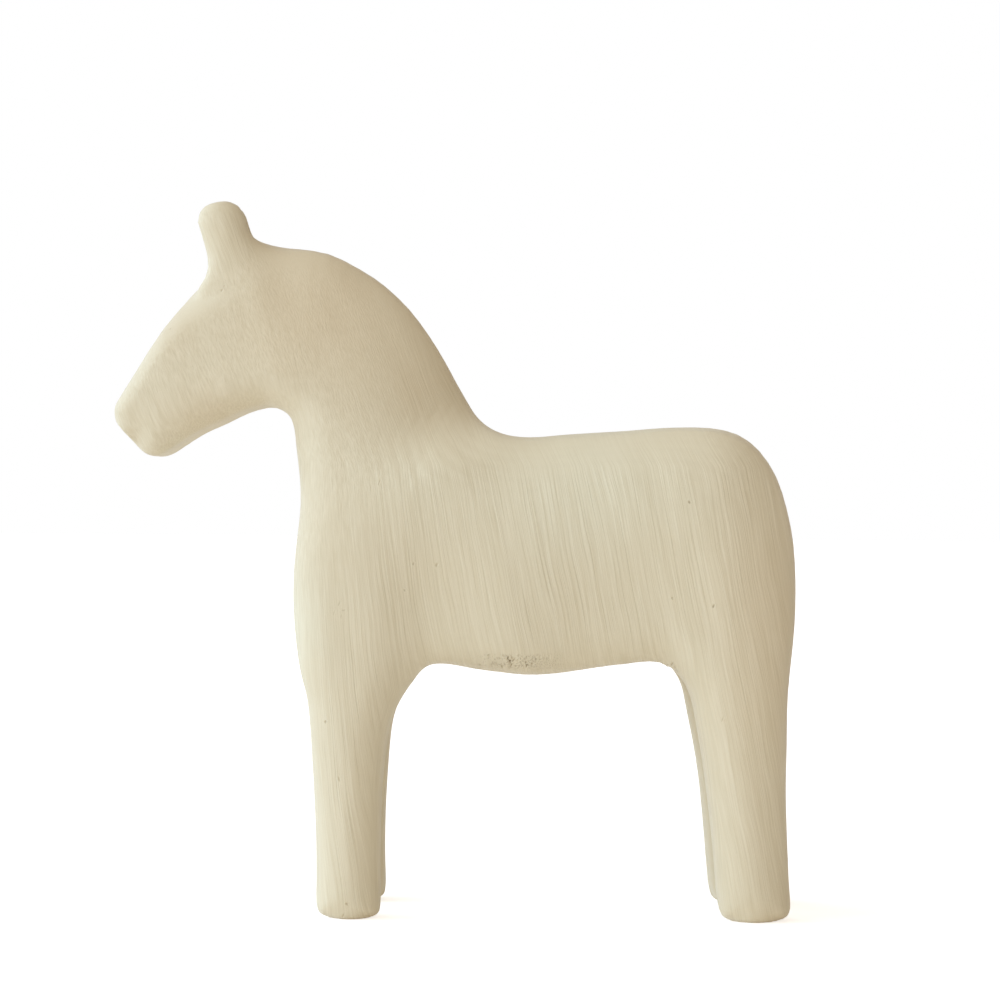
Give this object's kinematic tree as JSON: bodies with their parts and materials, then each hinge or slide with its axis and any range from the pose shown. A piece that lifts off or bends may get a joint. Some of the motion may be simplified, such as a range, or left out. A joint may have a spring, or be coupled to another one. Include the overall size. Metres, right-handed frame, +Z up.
{
  "type": "dala horse",
  "caption": "Plain standing carved wooden horse with a glued board body, straight legs, two ear stubs and a matt painted finish.",
  "frame": {"origin": "on the ground under the middle of the horse's bounding box", "axes": "+Z up, the horse faces -X, its left side is -Y and the object is symmetric across Y = 0"},
  "size_m": [0.1916, 0.06, 0.2],
  "materials": {
    "painted_pine": "matt cream paint over brushed pine grain",
    "bare_beech": "bare turned beech"
  },
  "bodies": {
    "root": {"core_board": "painted_pine", "left_side_board": "painted_pine", "right_side_board": "painted_pine", "dowel_1": "bare_beech", "dowel_2": "bare_beech", "dowel_3": "bare_beech", "dowel_4": "bare_beech"}
  },
  "joints": []
}
